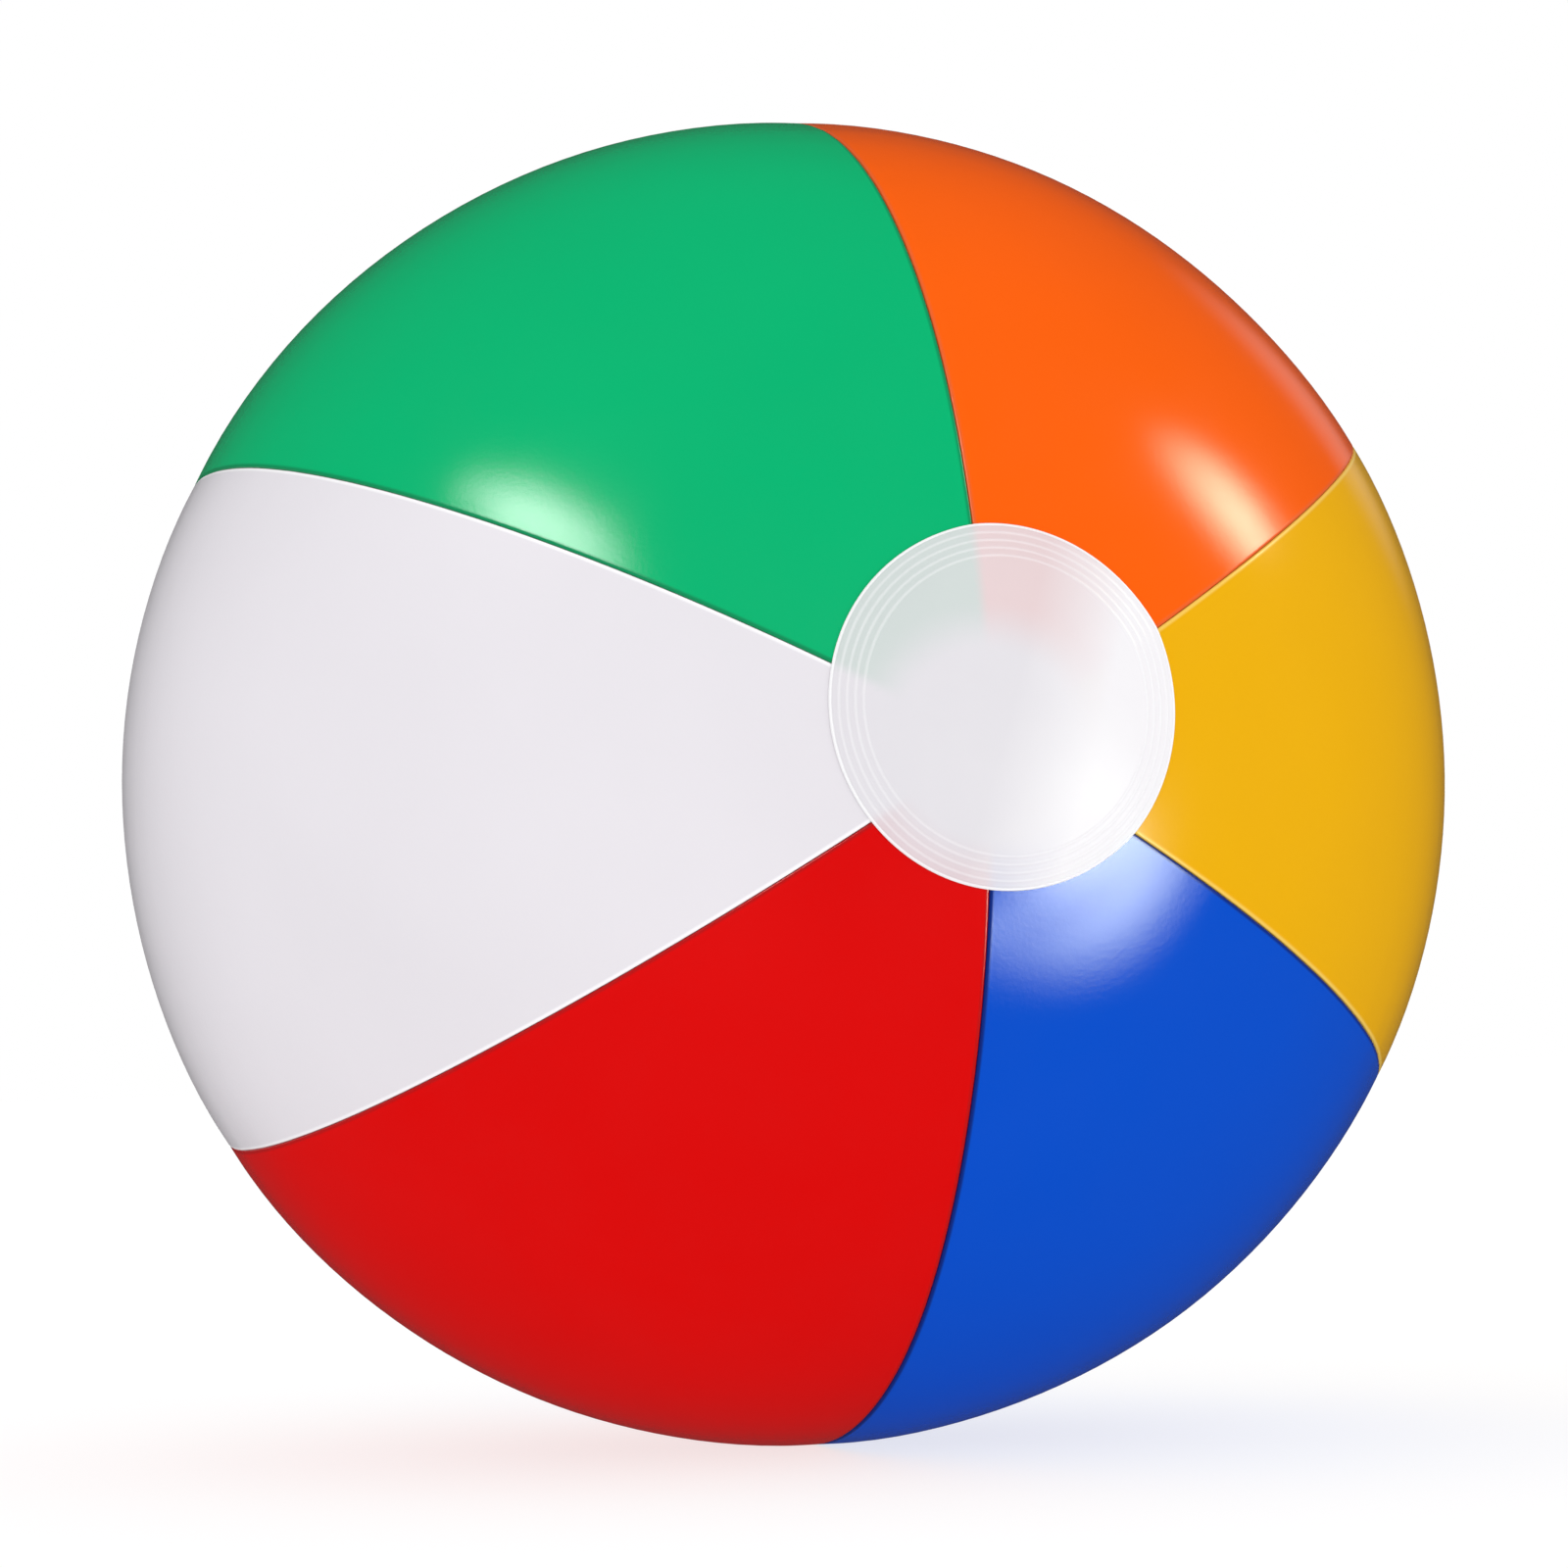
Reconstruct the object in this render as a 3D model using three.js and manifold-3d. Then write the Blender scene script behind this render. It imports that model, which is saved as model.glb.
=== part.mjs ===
// Inflatable beach ball: six welded film panels, a round film cap over each pole, and a push-in
// valve in the middle of the rear cap. Millimetres, +Z up.
// The origin is the ball's centre. The polar axis lies along Y: the plain cap faces -Y and the
// valve faces +Y. The valve is drawn pushed in and plugged, which is how the ball is played with.

import * as THREE from 'three';
import { mergeVertices } from 'three/addons/utils/BufferGeometryUtils.js';
import Module from 'manifold-3d';

const wasm = await Module();
wasm.setup();

// ---- the blown-up ball
const ballRadius = 165;       // outside radius of the panels
const restSag = 0.6;          // how far the film is pressed flat where the ball lies on the ground

// ---- film
const filmThickness = 0.25;
const weldGap = 0.3;          // left between pieces that are welded together
const seamFlange = 4;         // welded edge of each panel, turned in to the air side

// ---- panels, named anticlockwise as seen from the front, starting at the top seam
// span is the width at the equator in degrees, and the last panel takes what is left
const panels = [
  { name: 'panel_green', span: 62, colour: 0x01b771 },
  { name: 'panel_white', span: 60, colour: 0xece8ee },
  { name: 'panel_red', span: 58, colour: 0xdd0002 },
  { name: 'panel_blue', span: 60, colour: 0x014ec9 },
  { name: 'panel_yellow', span: 61, colour: 0xf0b100 },
  { name: 'panel_orange', span: 0, colour: 0xff5f04 },
];

// ---- round caps over the poles
const capRadius = 41.3;
const capLap = 17.3;          // how far the rear cap laps over the panels' narrow ends
const capRidges = 4;          // raised rings that the weld leaves
const ridgeInset = 2.1;       // rim to the middle of the first ring
const ridgePitch = 1.8;
const ridgeWidth = 1;
const ridgeHeight = 0.3;
const frontCapShift = { x: 5.6, z: 8.8 };   // the front cap is welded a little off the pole

// ---- valve
const fitGap = 0.3;           // clearance between valve pieces that touch or slide
const collarBore = 9.4;       // radius of the well that the valve is pushed into
const collarWall = 1.2;       // ring that stands up through the rear cap
const collarRise = 1.2;       // height of that ring above the panels' surface
const flangeWidth = 4.9;      // moulded flange round that ring, under the rear cap
const collarThickness = 0.8;
const boreRadius = 3.5;
const stemRadius = 5;
const stemLip = 0.6;          // how far the rim and the base of the stem stand out
const lipHeight = 1;
const stemLength = 13;
const stemProud = 0.6;        // stem rim above the collar when pushed in
const skirtThickness = 0.6;
const plugDepth = 4.5;
const plugTaper = 0.9;        // the plug narrows by this much from mouth to tip
const tipChamfer = { radius: 0.3, height: 0.5 };
const headLap = 1.1;          // how far the plug's head covers the stem's rim
const headThickness = 1.4;
const headChamfer = { radius: 0.4, height: 0.3 };
const hingeInset = 1.4;       // collar's bore to the bend line of the plug's strap
const strapWidth = 3.6;
const strapThickness = 0.6;
const tabReach = 2.6;         // finger tab, opposite the strap
const tabThickness = 0.8;
const tabRise = 0.2;          // underside of the tab above the underside of the head
const rootDepth = 0.5;        // how far the tab and the strap's lug run into what they grow from
const flapLap = 1.1;          // how far the check flap reaches past the bore
const flapThickness = 0.5;

// ---- fineness of the faceted solids
const meridianSteps = 11;     // from each pole hole to the flat patch under the equator
const acrossSteps = 6;        // between the narrow strips beside a panel's two seams
const capSegments = 40;
const valveSegments = 28;

const capInside = ballRadius + weldGap;
const capOutside = capInside + filmThickness;
const collarOutside = capInside - fitGap;
const collarTop = ballRadius + collarRise;
const rimTop = collarTop + stemProud;
const stemBottom = rimTop - stemLength;
const headRadius = boreRadius + headLap;
const headBottom = rimTop + fitGap;
const hingeOffset = collarBore - hingeInset;
const patchAngle = Math.acos(1 - restSag / ballRadius);
const poleHole = capRadius - capLap;   // radius at which the panels' narrow ends are cut off
const poleAngle = Math.asin(poleHole / ballRadius);

const rad = THREE.MathUtils.degToRad;

// Point of the ball: polar is measured from -Y, azimuth anticlockwise from +Z seen from the front.
function onBall(radius, polar, azimuth) {
  return new THREE.Vector3(
    -radius * Math.sin(polar) * Math.sin(azimuth),
    -radius * Math.cos(polar),
    radius * Math.sin(polar) * Math.cos(azimuth),
  );
}

// The film is pressed flat against the ground at the bottom of the ball.
function pressed(point, depth) {
  point.z = Math.max(point.z, restSag + depth - ballRadius);
  return point;
}

function evenly(from, to, steps) {
  return Array.from({ length: steps + 1 }, (_, i) => from + ((to - from) * i) / steps);
}

// Closed sheet between two grids of points. Each cell is split along the diagonal that stands
// further out, so the outside stays convex.
function sheetGeometry(outer, inner) {
  const rows = outer.length;
  const columns = outer[0].length;
  const points = [...outer.flat(), ...inner.flat()];
  const at = (i, j) => i * columns + j;
  const below = rows * columns;
  const index = [];
  const quad = (a, b, c, d) => index.push(a, b, c, a, c, d);
  const rim = (a, b) => quad(a, b, below + b, below + a);
  for (let i = 0; i + 1 < rows; i++) {
    for (let j = 0; j + 1 < columns; j++) {
      const cell = [at(i, j), at(i + 1, j), at(i + 1, j + 1), at(i, j + 1)];
      const middle = (m, n) => points[cell[m]].clone().add(points[cell[n]]).length();
      if (middle(1, 3) > middle(0, 2) + 1e-6) cell.push(cell.shift());
      const [a, b, c, d] = cell;
      quad(a, b, c, d);
      index.push(below + a, below + c, below + b, below + a, below + d, below + c);
    }
  }
  for (let j = 0; j + 1 < columns; j++) {
    rim(at(0, j), at(0, j + 1));
    rim(at(rows - 1, j + 1), at(rows - 1, j));
  }
  for (let i = 0; i + 1 < rows; i++) {
    rim(at(i + 1, 0), at(i, 0));
    rim(at(i, columns - 1), at(i + 1, columns - 1));
  }
  const geometry = new THREE.BufferGeometry();
  geometry.setAttribute('position', new THREE.Float32BufferAttribute(points.flatMap((p) => p.toArray()), 3));
  geometry.setIndex(index);
  return geometry;
}

// One gore of film with its two welded edges turned in. start and span are azimuths in radians.
function panelGeometry(start, span) {
  const polars = [
    ...evenly(poleAngle, Math.PI / 2 - patchAngle, meridianSteps),
    Math.PI / 2,
    ...evenly(Math.PI / 2 + patchAngle, Math.PI - poleAngle, meridianSteps),
  ];
  const azimuths = evenly(start + patchAngle, start + span - patchAngle, acrossSteps);
  const edges = [start, start + span];
  const foot = ballRadius - seamFlange;
  // into is the direction from a seam's plane into the panel
  const into = [onBall(1, Math.PI / 2, start + Math.PI / 2), onBall(1, Math.PI / 2, start + span - Math.PI / 2)];
  const edgePoint = (side, radius, polar, inset) =>
    onBall(radius, polar, edges[side]).addScaledVector(into[side], inset);
  const row = (polar, depth) => {
    const inset = weldGap / 2 + depth;
    const radius = ballRadius - depth;
    return [
      edgePoint(0, foot, polar, inset),
      pressed(edgePoint(0, radius, polar, inset), depth),
      ...azimuths.map((azimuth) => pressed(onBall(radius, polar, azimuth), depth)),
      pressed(edgePoint(1, radius, polar, inset), depth),
      edgePoint(1, foot, polar, inset),
    ];
  };
  return sheetGeometry(polars.map((polar) => row(polar, 0)), polars.map((polar) => row(polar, filmThickness)));
}

// Profile point on a sphere, at a distance off the axis.
function arcPoint(radius, offAxis) {
  return new THREE.Vector2(offAxis, Math.sqrt(radius ** 2 - offAxis ** 2));
}

function arcPoints(radius, from, to, steps) {
  return evenly(from, to, steps).map((offAxis) => arcPoint(radius, offAxis));
}

// Outside of a cap from its rim inwards: four raised rings, then plain film.
function capTopPoints(hole) {
  const points = [arcPoint(capOutside, capRadius)];
  for (let k = 0; k < capRidges; k++) {
    const ring = capRadius - ridgeInset - k * ridgePitch;
    points.push(arcPoint(capOutside, ring + ridgeWidth / 2));
    points.push(arcPoint(capOutside + ridgeHeight, ring));
    points.push(arcPoint(capOutside, ring - ridgeWidth / 2));
  }
  const plain = capRadius - ridgeInset - capRidges * ridgePitch;
  points.push(...arcPoints(capOutside, plain, hole, 4));
  return points;
}

// Round film disc on the ball's surface, round the Y axis, with a hole in the middle if hole > 0.
function capGeometry(hole) {
  const underside = arcPoints(capInside, hole, capRadius, 6);
  const profile = [...underside, ...capTopPoints(hole)];
  if (hole > 0) profile.push(profile[0].clone());
  return new THREE.LatheGeometry(profile, capSegments);
}

function ringGeometry(corners) {
  const profile = corners.map(([r, y]) => new THREE.Vector2(r, y));
  if (profile[0].x > 0) profile.push(profile[0].clone());
  return new THREE.LatheGeometry(profile, valveSegments);
}

// Flange under the rear cap, with the ring that stands up through it.
function collarGeometry() {
  const ringOuter = collarBore + collarWall;
  const inside = arcPoints(collarOutside - collarThickness, collarBore, ringOuter + flangeWidth, 3);
  const outside = arcPoints(collarOutside, ringOuter + flangeWidth, ringOuter, 3);
  const ring = [new THREE.Vector2(ringOuter, collarTop), new THREE.Vector2(collarBore, collarTop)];
  const profile = [...inside, ...outside, ...ring];
  profile.push(profile[0].clone());
  return new THREE.LatheGeometry(profile, valveSegments);
}

// Thin cone that joins the collar to the foot of the stem and rolls over when the valve pops out.
function skirtGeometry() {
  const topOuter = collarBore - fitGap;
  const bottomInner = stemRadius + stemLip + fitGap;
  const top = collarOutside;
  return ringGeometry([
    [bottomInner, stemBottom],
    [bottomInner + skirtThickness, stemBottom],
    [topOuter, top],
    [topOuter - skirtThickness, top],
  ]);
}

// Bar with square ends along X, used for the strap, its lug and the finger tab.
function barGeometry(from, to, bottom, top) {
  const bar = new THREE.BoxGeometry(to - from, top - bottom, strapWidth);
  bar.translate((from + to) / 2, (bottom + top) / 2, 0);
  return bar;
}

function solid(geometry) {
  const bare = geometry.clone();
  bare.deleteAttribute('normal');
  bare.deleteAttribute('uv');
  const merged = mergeVertices(bare, 1e-4);
  const vertProperties = new Float32Array(merged.attributes.position.array);
  const triVerts = new Uint32Array(merged.index.array);
  return new wasm.Manifold(new wasm.Mesh({ numProp: 3, vertProperties, triVerts }));
}

function geometryOf(manifold) {
  const mesh = manifold.getMesh();
  const geometry = new THREE.BufferGeometry();
  geometry.setAttribute('position', new THREE.Float32BufferAttribute(mesh.vertProperties, 3));
  geometry.setIndex([...mesh.triVerts]);
  return geometry;
}

// Tube with a lip at its rim and at its foot, and the lug that the plug's strap grows from.
function stemGeometry() {
  const lip = stemRadius + stemLip;
  const tube = ringGeometry([
    [boreRadius, stemBottom],
    [lip, stemBottom],
    [lip, stemBottom + lipHeight],
    [stemRadius, stemBottom + lipHeight + stemLip],
    [stemRadius, rimTop - lipHeight - stemLip],
    [lip, rimTop - lipHeight],
    [lip, rimTop],
    [boreRadius, rimTop],
  ]);
  const lugTop = rimTop - fitGap / 2;
  const lug = barGeometry(stemRadius - rootDepth, hingeOffset - fitGap, rimTop - lipHeight, lugTop);
  return geometryOf(solid(tube).add(solid(lug)));
}

// Tapered plug with a flat head and a finger tab.
function plugGeometry() {
  const mouth = boreRadius - fitGap;
  const tip = rimTop - plugDepth;
  const headTop = headBottom + headThickness;
  const tabBottom = headBottom + tabRise;
  const plug = ringGeometry([
    [0, tip],
    [mouth - plugTaper - tipChamfer.radius, tip],
    [mouth - plugTaper, tip + tipChamfer.height],
    [mouth, rimTop],
    [mouth, headBottom],
    [headRadius, headBottom],
    [headRadius, headTop - headChamfer.height],
    [headRadius - headChamfer.radius, headTop],
    [0, headTop],
  ]);
  const tab = barGeometry(-headRadius - tabReach, rootDepth - headRadius, tabBottom, tabBottom + tabThickness);
  return geometryOf(solid(plug).add(solid(tab)));
}

function strapGeometry() {
  return barGeometry(headRadius + fitGap, hingeOffset, headBottom, headBottom + strapThickness);
}

function flapGeometry() {
  const top = stemBottom - fitGap;
  const reach = boreRadius + flapLap;
  return ringGeometry([
    [0, top - flapThickness],
    [reach, top - flapThickness],
    [reach, top],
    [0, top],
  ]);
}

function piece(name, geometry, colour, roughness = 0.3) {
  const material = new THREE.MeshStandardMaterial({ color: colour, roughness, metalness: 0 });
  const mesh = new THREE.Mesh(geometry, material);
  mesh.name = name;
  return mesh;
}

const ball = new THREE.Group();

let start = 0;
for (const { name, span, colour } of panels) {
  const width = span ? rad(span) : 2 * Math.PI - start;
  ball.add(piece(name, panelGeometry(start, width), colour));
  start += width;
}

const capColour = 0xe8e5ea;
const frontCap = piece('front_cap', capGeometry(0), capColour);
const frontHeight = Math.sqrt(ballRadius ** 2 - frontCapShift.x ** 2 - frontCapShift.z ** 2);
const frontAxis = new THREE.Vector3(frontCapShift.x, -frontHeight, frontCapShift.z).normalize();
frontCap.quaternion.setFromUnitVectors(new THREE.Vector3(0, 1, 0), frontAxis);
ball.add(frontCap);
ball.add(piece('rear_cap', capGeometry(collarBore + collarWall + fitGap), capColour));

const valveColour = 0xf1f0ee;
ball.add(piece('valve_collar', collarGeometry(), valveColour));
ball.add(piece('valve_skirt', skirtGeometry(), valveColour));
ball.add(piece('valve_stem', stemGeometry(), valveColour));
ball.add(piece('valve_plug', plugGeometry(), valveColour));
ball.add(piece('plug_strap', strapGeometry(), valveColour));
ball.add(piece('check_flap', flapGeometry(), valveColour));

export default ball;
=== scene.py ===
import math

import bmesh
import bpy
import numpy as np
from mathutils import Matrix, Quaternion, Vector, noise


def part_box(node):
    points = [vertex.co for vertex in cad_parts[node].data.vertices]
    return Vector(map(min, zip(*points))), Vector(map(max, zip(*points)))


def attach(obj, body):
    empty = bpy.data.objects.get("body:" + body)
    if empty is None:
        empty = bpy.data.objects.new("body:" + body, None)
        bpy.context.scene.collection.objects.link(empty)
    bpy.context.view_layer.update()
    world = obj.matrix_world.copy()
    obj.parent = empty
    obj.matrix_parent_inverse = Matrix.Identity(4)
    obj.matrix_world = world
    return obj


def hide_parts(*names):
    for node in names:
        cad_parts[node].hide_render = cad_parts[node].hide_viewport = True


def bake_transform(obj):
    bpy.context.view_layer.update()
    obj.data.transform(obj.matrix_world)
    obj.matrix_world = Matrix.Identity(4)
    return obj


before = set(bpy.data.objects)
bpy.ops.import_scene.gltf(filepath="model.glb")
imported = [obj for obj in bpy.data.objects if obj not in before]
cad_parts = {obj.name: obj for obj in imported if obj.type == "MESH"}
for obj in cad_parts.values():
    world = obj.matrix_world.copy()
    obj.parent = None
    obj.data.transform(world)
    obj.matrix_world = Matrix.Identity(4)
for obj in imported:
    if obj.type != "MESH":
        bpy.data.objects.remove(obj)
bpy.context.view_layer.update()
print("frame loaded")

mm = 0.001

# the blown-up ball, read from the frame
ball = {
    "radius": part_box("panel_green")[1].z,
    "restLevel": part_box("panel_blue")[0].z,   # flat patch that the ball lies on
    "poleY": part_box("panel_green")[1].y,      # where the panels' narrow ends are cut
}
ball["poleHole"] = math.sqrt(ball["radius"] ** 2 - ball["poleY"] ** 2)

panelOrder = ["green", "white", "red", "blue", "yellow", "orange"]   # anticlockwise, as seen from the front

film = {
    "thickness": 0.25 * mm,
    "seamGap": 0.05 * mm,       # half the slit between two welded edges
    "lip": 0.55 * mm,           # bend radius where a panel turns in at its seam
    "flange": 3.6 * mm,         # depth of the welded edge that is turned in
    "flangePoints": (1, 0.72, 0.46, 0.26),   # where the flange has points, as shares of its depth
    "straight": 0.16,           # share by which the film is drawn straight between two seams near the caps
    "seamDip": 0.35 * mm,       # the welds hold the film back this far, round the ball's middle
    "dipWidth": 9 * mm,
    "dipFade": 1.3,             # how sharply the dip ends away from its seam
    "dipToCaps": 4,             # how soon it ends towards the caps
    "rowStep": 2.4 * mm,        # fineness along a seam
    "acrossSteps": 30,          # fineness between a panel's two seams
    "stations": (0.25, 0.6, 1.1, 1.8, 2.8, 4.2, 6.0, 8.2),   # mm from a seam's lip to the nearest points
    "pucker": 0.10 * mm,        # little gathers along the welds
    "puckerLength": 11 * mm,
    "puckerReach": 11 * mm,
    "puckerPatch": 60 * mm,     # length of the stretches with many and with few gathers
    "puckerLeast": 0.35,        # strength of the gathers where there are few
    "puckerMost": 1.3,          # what a patch with many adds to it
    "puckerFine": 0.35,         # strength of the finer gathers among them
    "puckerFineLength": 0.45,   # their length, as a share of the others'
    "swell": 0.45 * mm,         # slow unevenness of the stretched film
    "swellLength": 75 * mm,
}


# mesh helpers

def newPiece(name, mesh):
    piece = bpy.data.objects.new(name, mesh)
    bpy.context.scene.collection.objects.link(piece)
    return piece


def closedMesh(name, points, faces, sharpAngle):
    mesh = bpy.data.meshes.new(name)
    mesh.from_pydata(points.reshape(-1, 3).tolist(), [], [list(map(int, face)) for face in faces])
    work = bmesh.new()
    work.from_mesh(mesh)
    bmesh.ops.remove_doubles(work, verts=work.verts, dist=1e-7)
    bmesh.ops.recalc_face_normals(work, faces=work.faces)
    work.to_mesh(mesh)
    work.free()
    mesh.shade_smooth()
    mesh.set_sharp_from_angle(angle=math.radians(sharpAngle))
    return mesh


def closedSheet(name, outer, inner):
    # outer and inner are grids of points, rows by columns
    rows, columns = outer.shape[:2]
    index = np.arange(rows * columns).reshape(rows, columns)
    below = rows * columns
    top = np.stack([index[:-1, :-1], index[1:, :-1], index[1:, 1:], index[:-1, 1:]], -1).reshape(-1, 4)
    edge = np.concatenate([index[0, :], index[1:, -1], index[-1, -2::-1], index[-2:0:-1, 0]])
    after = np.roll(edge, -1)
    side = np.stack([edge, after, after + below, edge + below], -1)
    points = np.concatenate([outer.reshape(-1, 3), inner.reshape(-1, 3)])
    return closedMesh(name, points, np.concatenate([top, top[:, ::-1] + below, side]), sharpAngle=50)


def revolved(name, outline, segments, sharpAngle=35):
    # outline is a closed list of (distance off the Y axis, height along it)
    turns = np.linspace(0, 2 * math.pi, segments, endpoint=False)
    outline = np.array(outline, float)
    level = np.broadcast_to(outline[:, 1], (segments, len(outline)))
    right, up = (np.outer(side(turns), outline[:, 0]) for side in (np.cos, np.sin))
    points = np.stack([right, level, up], -1)
    index = np.arange(segments * len(outline)).reshape(segments, -1)
    beside, above = np.roll(index, -1, axis=0), np.roll(index, -1, axis=1)
    faces = np.stack([index, above, np.roll(beside, -1, axis=1), beside], -1)
    if outline[0, 0] == 0:
        # an outline that starts and ends on the axis has no face along it
        faces = faces[:, :-1]
    return closedMesh(name, points, faces.reshape(-1, 4), sharpAngle)


def softCorners(corners, radius, steps=4):
    # rounds the corners of a closed outline; a corner on the axis stays
    out = []
    for i, corner in enumerate(corners):
        here = Vector(corner)
        if here.x == 0:
            out.append(tuple(here))
            continue
        before, after = Vector(corners[i - 1]) - here, Vector(corners[(i + 1) % len(corners)]) - here
        cut = min(radius, before.length * 0.45, after.length * 0.45)   # two cuts never meet on a short side
        first, last = here + before.normalized() * cut, here + after.normalized() * cut
        for k in range(steps + 1):
            t = k / steps
            out.append(tuple(first * (1 - t) ** 2 + here * 2 * t * (1 - t) + last * t * t))
    return out


def addAttribute(mesh, name, values):
    layer = mesh.attributes.new(name, "FLOAT", "POINT")
    layer.data.foreach_set("value", np.asarray(values, np.float32).ravel())


def pointsOf(mesh):
    points = np.zeros(len(mesh.vertices) * 3, np.float32)
    mesh.vertices.foreach_get("co", points)
    return points.reshape(-1, 3).astype(float)


def nodePoints(node):
    return pointsOf(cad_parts[node].data)


# shape of the blown-up film

def onBall(radius, polar, azimuth):
    # polar from -Y, azimuth anticlockwise from +Z as seen from the front
    ring = radius * np.sin(polar)
    level = -radius * np.cos(polar) + 0 * azimuth
    return np.stack([-ring * np.sin(azimuth), level, ring * np.cos(azimuth)], -1)


def waves(points, length, seed):
    # smooth noise from -1 to 1, from a part of its own for each seed
    shift = Vector((seed * 3.7, seed * 1.3, seed * 2.1))
    values = [noise.noise(Vector(p) / length + shift) for p in points.reshape(-1, 3)]
    return np.array(values).reshape(points.shape[:-1])


def swell(points):
    return film["swell"] * waves(points, film["swellLength"], 1)


def drawnStraight(polar, azimuth, start, end):
    # how far the film lies under the round ball between its two seams
    half = (end - start) / 2
    ring = ball["radius"] * np.sin(polar)
    clear = np.clip(ring / ball["poleHole"] - 1, 0, 1)   # the caps hold the panels' ends round
    share = film["straight"] * np.cos(polar) ** 2 * clear ** 2 * (3 - 2 * clear)
    return share * ring * (1 - math.cos(half) / np.cos(azimuth - start - half))


def gathers(along, seed):
    # small gathers along a weld, in patches; a shift picks another part of the noise
    def wave(length, shift):
        return np.array([noise.noise(Vector((s / length, seed * 5.1, shift))) for s in along[:, 0]])

    patches = np.clip(wave(film["puckerPatch"], 0) + 0.2, 0, 1)
    fine = film["puckerFine"] * wave(film["puckerFineLength"] * film["puckerLength"], 8)
    strength = film["puckerLeast"] + film["puckerMost"] * patches
    return (strength * (wave(film["puckerLength"], 4) + fine))[:, None]


def readSeams():
    # azimuths of the two edges of each panel, from the panels' points on the equator
    edges = {}
    for name in panelOrder:
        points = nodePoints("panel_" + name)
        middle = points.mean(0)
        centre = math.atan2(-middle[0], middle[2])
        outside = np.linalg.norm(points, axis=1) > 0.99 * ball["radius"]
        level = points[(np.abs(points[:, 1]) < 0.01 * mm) & outside]
        turn = (np.arctan2(-level[:, 0], level[:, 2]) - centre + math.pi) % (2 * math.pi) - math.pi
        edges[name] = [centre + turn.min(), centre + turn.max()]
    for name, following in zip(panelOrder, panelOrder[1:] + panelOrder[:1]):
        # a seam lies half way between two panels
        gap = (edges[following][0] - edges[name][1] + math.pi) % (2 * math.pi) - math.pi
        edges[name][1] += gap / 2
        edges[following][0] -= gap / 2
    return edges


def seamProfile(depthIn):
    # (distance from the seam's plane, depth under the surface), from the foot of the weld outwards
    gap, lip = film["seamGap"], film["lip"]
    path = [(gap + depthIn, film["flange"] * share) for share in film["flangePoints"]]
    for turn in np.linspace(0, math.pi / 2, 7):
        bend = lip - depthIn
        path.append((gap + lip - bend * math.cos(turn), lip - bend * math.sin(turn)))
    return np.array(path + [(gap + lip + far * mm, depthIn) for far in film["stations"]])


def panelSheet(polar, seams, seeds, depthIn):
    # points of one side of a panel's film, and how far each of them is from the nearer seam
    radius = ball["radius"]
    side = seamProfile(depthIn)
    swing = np.arcsin(side[None, :, 0] / (radius * np.sin(polar)))
    start, end = seams[0] + swing, seams[1] - swing[:, ::-1]
    between = np.linspace(0, 1, film["acrossSteps"] + 1)[None, 1:-1]
    azimuth = np.concatenate([start, start[:, -1:] + (end[:, :1] - start[:, -1:]) * between, end], 1)
    away = [radius * np.sin(polar) * np.abs(np.sin(azimuth - seam)) for seam in seams]
    nearest = np.minimum(*away)
    plain = np.full(between.shape[1], depthIn)
    under = np.concatenate([side[:, 1], plain, side[::-1, 1]])[None, :]
    under = under - swell(onBall(radius, polar, azimuth)) + drawnStraight(polar, azimuth, *seams)
    dip = film["seamDip"] * np.sin(polar) ** film["dipToCaps"]
    under = under + dip * np.exp(-((nearest / film["dipWidth"]) ** film["dipFade"]))
    for distance, seed in zip(away, seeds):
        reach = np.exp(-distance / film["puckerReach"])
        under = under - film["pucker"] * gathers(radius * polar, seed) * reach
    points = onBall(radius - under, polar, azimuth)
    points[..., 2] = np.maximum(points[..., 2], ball["restLevel"] + depthIn)
    return points, nearest


def panelMesh(name, seams, seeds):
    holeAngle = math.acos(ball["poleY"] / ball["radius"])
    rows = round(ball["radius"] * (math.pi - 2 * holeAngle) / film["rowStep"])
    polar = np.linspace(holeAngle, math.pi - holeAngle, rows + 1)[:, None]
    outer, outerAway = panelSheet(polar, seams, seeds, 0)
    inner, innerAway = panelSheet(polar, seams, seeds, film["thickness"])
    mesh = closedSheet(name, outer, inner)
    addAttribute(mesh, "seamDistance", np.concatenate([outerAway.ravel(), innerAway.ravel()]))
    return mesh


# shaders

class Sock:
    # an output socket, so that a sum in the code makes its Math nodes
    def __init__(self, shader, output):
        self.shader = shader
        self.output = output

    def combine(self, operation, first, second):
        return self.shader.add("ShaderNodeMath", {"operation": operation}, {0: first, 1: second})

    def __add__(self, other):
        return self.combine("ADD", self, other)

    __radd__ = __add__

    def __sub__(self, other):
        return self.combine("SUBTRACT", self, other)

    def __rsub__(self, other):
        return self.combine("SUBTRACT", other, self)

    def __mul__(self, other):
        return self.combine("MULTIPLY", self, other)

    __rmul__ = __mul__


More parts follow.
